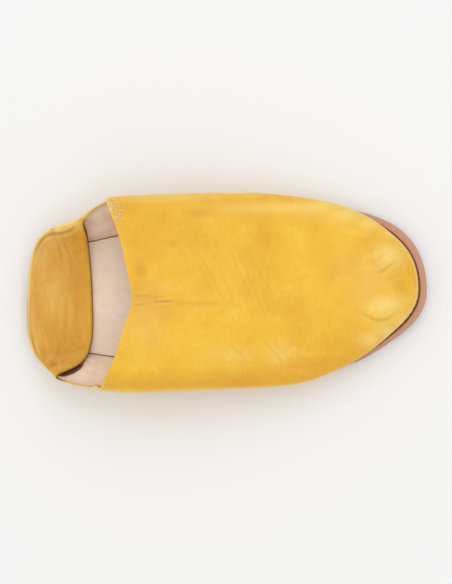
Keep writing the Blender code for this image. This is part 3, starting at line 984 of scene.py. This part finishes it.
class Threads:
    """Many short threads joined into one mesh."""

    def __init__(self):
        self.points = []
        self.faces = []

    def lay(self, path, radius):
        """A thread along the path, thin at its ends."""
        sides = THREAD_SIDES
        first = len(self.points)
        last = len(path) - 1
        for index, place in enumerate(path):
            run = (path[min(index + 1, last)] - path[max(index - 1, 0)]).normalized()
            across = run.orthogonal().normalized()
            other = run.cross(across)
            size = radius * (THREAD_END if index in (0, last) else 1.0)
            for side in range(sides):
                turn = 2 * math.pi * side / sides
                aside = math.cos(turn) * across + math.sin(turn) * other
                self.points.append(place + size * aside)
        for ring in range(last):
            start = first + ring * sides
            ahead = start + sides
            for side in range(sides):
                following = (side + 1) % sides
                self.faces.append(
                    (start + side, start + following, ahead + following, ahead + side)
                )
        end = first + last * sides
        self.faces.append(tuple(range(first + sides - 1, first - 1, -1)))
        self.faces.append(tuple(range(end, end + sides)))

    def piece(self, name, material, slot):
        """Makes one piece of all the threads laid so far."""
        mesh = bpy.data.meshes.new(name)
        mesh.from_pydata(self.points, [], self.faces)
        mesh.update()
        for polygon in mesh.polygons:
            polygon.use_smooth = True
        mesh.materials.append(material)
        made = bpy.data.objects.new(name, mesh)
        bpy.context.scene.collection.objects.link(made)
        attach(made, "root")


# A stitch stands proud in its middle and dips into its holes, by these shares of its lift
ARCH_STEPS = 6
ARCH_RISE = 1.25
ARCH_DIP = 0.35


def arched(start, end, start_facing, end_facing, lift):
    """A stitch from hole to hole that stands a little proud in its middle."""
    path = []
    for step in range(ARCH_STEPS + 1):
        t = step / ARCH_STEPS
        facing = start_facing.lerp(end_facing, t).normalized()
        rise = lift * (math.sin(math.pi * t) * ARCH_RISE - ARCH_DIP)
        path.append(start.lerp(end, t) + facing * rise)
    return path


vamp_surface = outer_surface(vamp.data)
quarter_surface = outer_surface(quarter.data)
sole_surface = outer_surface(sole.data)

# Pale zigzags along the vamp's rear edge at its medial corner: each one's outer and inner point
# and its count of stitches. Its two rows of holes lie this far ahead of the line between those
# points, and sway a little, in millimetres.
ZIGZAGS = (
    ((-74.0, 62.0), (-64.5, 43.0), 15),
    ((-70.5, 61.0), (-63.5, 46.0), 12),
    ((-66.5, 61.5), (-63.0, 52.0), 7),
)
ZIGZAG_ROWS = (1.4, 4.0)
ZIGZAG_SWAY = 1.6
ZIGZAG_THREAD = 0.25 * MM
ZIGZAG_LIFT = 0.45 * MM


def zigzags(threads):
    """Lays the pale stitches that hold the vamp's corner on the quarter."""
    for start, end, count in ZIGZAGS:
        start, end = Vector(start), Vector(end)
        holes = []
        for index in range(count + 1):
            row = ZIGZAG_ROWS[index % 2]
            spot = start.lerp(end, index / count)
            sway = ZIGZAG_SWAY * noise.noise(Vector((spot.x, spot.y, 0.0)))
            holes.append(seat(vamp_surface, "above", spot.x + row + sway, spot.y - sway))
        for (first, facing), (second, other) in zip(holes, holes[1:]):
            if first is None or second is None:
                continue
            threads.lay(arched(first, second, facing, other, ZIGZAG_LIFT), ZIGZAG_THREAD)


# Loose thread ends at the lateral corner, as places in millimetres that each one runs through
LOOSE_ENDS = (
    ((-80, -60.0, 39.0), (-83, -61.5, 40.5), (-86.5, -60.5, 41.0), (-89.5, -62.0, 39.5)),
    ((-80, -60.0, 39.5), (-83.5, -59.0, 41.5), (-86, -57.5, 41.5), (-88, -58.0, 40.5)),
    ((-81, -61.0, 38.5), (-84, -62.5, 38.5), (-86.5, -64.0, 36.0)),
    ((-84.5, -59.5, 40.0), (-86, -61.0, 41.0), (-87.5, -60.0, 40.5), (-86.3, -58.8, 40.8)),
    ((-83.0, -58.5, 40.0), (-85, -60.3, 41.2), (-86.8, -61.6, 39.8)),
)
LOOSE_THREAD = 0.32 * MM
LOOSE_STEPS = 4


def loose_ends(threads):
    """Lays the cut thread ends that stand out at the corner."""
    for places in LOOSE_ENDS:
        path = []
        for place in curve_through(places, LOOSE_STEPS):
            path.append(place * MM + Vector((MARK, 0.0, 0.0)))
        threads.lay(path, LOOSE_THREAD)


# The dark seam between the upper and the sole, all the way round: a dark cord in their corner that
# stands in for its shadow, and whip stitches that rise over it to the upper and reach out to the
# sole
SEAM_STITCHES = 108
SEAM_STEPS = 4
SHADOW_CORD_THREAD = 0.50 * MM
SHADOW_CORD_SEAT = 0.7
WHIP_THREAD = 0.42 * MM
WHIP_RISE = 2.4 * MM
WHIP_REACH = 1.2 * MM
WHIP_LIFT = 0.9 * MM

# The upper's foot is felt for from far outside at this height over the sole, and first at a
# height that also meets the lifted toe
FEELER_RISE = 1.5 * MM
GUESS_RISE = 9 * MM
FAR_OUT = 0.12
RING_RADIUS = 45 * MM

# The shadow cord lies ahead of the upper's foot by this share of the sole's margin, up to a limit,
# so that it shows from above as a dark line
SHADOW_CORD_SHARE = 0.34
SHADOW_CORD_LIMIT = 2.6 * MM


def seam_ring(count):
    """Points on the shoe's axis, each with its way outward, evenly round the shoe."""
    straight = AXIS_TOE - AXIS_HEEL
    bend = math.pi * RING_RADIUS
    whole = 2 * straight + 2 * bend
    for index in range(count):
        run = whole * index / count
        if run < straight:
            yield Vector((AXIS_TOE - run, 0, 0)), Vector((0, 1, 0))
            continue
        run -= straight
        if run < bend:
            turn = math.pi / 2 + math.pi * run / bend
            yield Vector((AXIS_HEEL, 0, 0)), Vector((math.cos(turn), math.sin(turn), 0))
            continue
        run -= bend
        if run < straight:
            yield Vector((AXIS_HEEL + run, 0, 0)), Vector((0, -1, 0))
            continue
        turn = -math.pi / 2 + math.pi * (run - straight) / bend
        yield Vector((AXIS_TOE, 0, 0)), Vector((math.cos(turn), math.sin(turn), 0))


def sole_height(place):
    """The height of the sole's upper side under a place."""
    hit = sole_surface.ray_cast(Vector((place.x, place.y, CAST_FROM)), Vector((0, 0, -1)))[0]
    return hit.z if hit else None


def upper_from_outside(axis, outward, height):
    """Where the upper's outer side is met at that height, coming in from outside."""
    origin = axis + outward * FAR_OUT
    origin.z = height
    hits = [surface.ray_cast(origin, -outward)[0] for surface in (vamp_surface, quarter_surface)]
    hits = [hit for hit in hits if hit is not None]
    return min(hits, key=lambda hit: (hit - origin).length) if hits else None


def seam_places(rise):
    """Places on the upper's outer side that far above the sole, evenly round the shoe."""
    places = []
    for axis, outward in seam_ring(SEAM_STITCHES * SEAM_STEPS):
        level = sole_height(axis)
        guess = upper_from_outside(axis, outward, level + GUESS_RISE)
        level = (sole_height(guess) if guess else None) or level
        places.append((upper_from_outside(axis, outward, level + rise), outward, level))
    return places


def shadow_cord_reach(place, outward, level):
    """How far ahead of the upper's foot the shadow cord lies, as a share of the sole's margin
    there.
    """
    origin = place + outward * FAR_OUT
    origin.z = level - FEELER_RISE
    edge = sole_surface.ray_cast(origin, -outward)[0]
    margin = (edge - place).dot(outward) if edge else 0.0
    return min(max(margin * SHADOW_CORD_SHARE, SHADOW_CORD_THREAD), SHADOW_CORD_LIMIT)


def seam(threads):
    """Lays the dark cord that stands in for the shadow in the corner between upper and sole, and
    the whip stitches across it.
    """
    foot = seam_places(FEELER_RISE)
    high = seam_places(WHIP_RISE)
    # A dark cord, put where the corner between upper and sole shows as a shadow line
    shadow_cord = []
    for place, outward, level in foot + foot[:1]:
        if place is None:
            continue
        lying = place + outward * shadow_cord_reach(place, outward, level)
        lying.z = (sole_height(lying) or level) + SHADOW_CORD_THREAD * SHADOW_CORD_SEAT
        shadow_cord.append(lying)
    threads.lay(shadow_cord, SHADOW_CORD_THREAD)
    for index in range(0, len(foot), SEAM_STEPS):
        place, outward, level = foot[(index + SEAM_STEPS // 2) % len(foot)]
        top = high[index][0]
        if place is None or top is None:
            continue
        end = place + outward * WHIP_REACH
        end.z = level
        slanting = (outward + Vector((0, 0, 1))).normalized()
        threads.lay(arched(top, end, outward, slanting, WHIP_LIFT), WHIP_THREAD)


pale_threads = Threads()
zigzags(pale_threads)
loose_ends(pale_threads)
pale_thread = thread_finish("pale thread", tone(248, 228, 180), tone(222, 186, 124))
pale_threads.piece("pale_stitches", pale_thread, "pale_thread")
dark_threads = Threads()
seam(dark_threads)
dark_thread = thread_finish("dark thread", tone(138, 88, 58), tone(92, 56, 36))
dark_threads.piece("dark_stitches_and_shadow_cord", dark_thread, "dark_thread")

# The camera, the floor and the lights
target = Vector(CAMERA_AIM)
camera_data = bpy.data.cameras.new("camera")
camera = bpy.data.objects.new("camera", camera_data)
bpy.context.scene.collection.objects.link(camera)
camera.location = CAMERA_PLACE
look = target - camera.location
camera_data.sensor_width = SENSOR
camera_data.lens = SENSOR * look.length / VIEW_LENGTH
camera_data.clip_end = CLIP_END
up = Vector((math.sin(CAMERA_ROLL), math.cos(CAMERA_ROLL), 0.0))
back = -look.normalized()
right = up.cross(back).normalized()
up = back.cross(right)
camera.rotation_mode = "QUATERNION"
camera.rotation_quaternion = Matrix((right, up, back)).transposed().to_quaternion()
bpy.context.scene.camera = camera

FLOOR_HALF = 30.0
FLOOR_COLOUR = (0.86, 0.86, 0.86, 1.0)
ROOM_COLOUR = (1.0, 1.0, 1.0, 1.0)
ROOM_STRENGTH = 0.74
floor_corners = [
    (along * FLOOR_HALF, across * FLOOR_HALF, 0)
    for along, across in ((-1, -1), (1, -1), (1, 1), (-1, 1))
]
floor_mesh = bpy.data.meshes.new("floor")
floor_mesh.from_pydata(floor_corners, [], [(0, 1, 2, 3)])
floor = bpy.data.objects.new("floor", floor_mesh)
bpy.context.scene.collection.objects.link(floor)
floor_finish = Finish("pale floor", Base_Color=FLOOR_COLOUR, Roughness=0.9)
floor_mesh.materials.append(floor_finish.material)
floor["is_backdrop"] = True

Light = namedtuple("Light", "name place size power")
LIGHTS = (
    Light("window", (0.0, 1.0, 1.5), 1.4, 6.0),
    Light("over", (0.2, -0.1, 1.9), 1.6, 6.3),
    Light("fill", (0.0, -0.9, 1.3), 1.0, 2.0),
)
for light in LIGHTS:
    lamp = bpy.data.lights.new(light.name, "AREA")
    lamp.size = light.size
    lamp.energy = light.power
    holder = bpy.data.objects.new(light.name, lamp)
    holder.location = light.place
    holder.rotation_mode = "QUATERNION"
    holder.rotation_quaternion = (-Vector(light.place)).to_track_quat("-Z", "Y")
    bpy.context.scene.collection.objects.link(holder)

world = bpy.data.worlds.new("room")
bpy.context.scene.world = world
world.use_nodes = True
background = world.node_tree.nodes["Background"]
background.inputs["Color"].default_value = ROOM_COLOUR
background.inputs["Strength"].default_value = ROOM_STRENGTH
bpy.context.scene.view_settings.view_transform = "Standard"

boxes = {"cad": cad_box, "visual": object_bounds()}
{name: [list(low), list(high)] for name, (low, high) in boxes.items()}
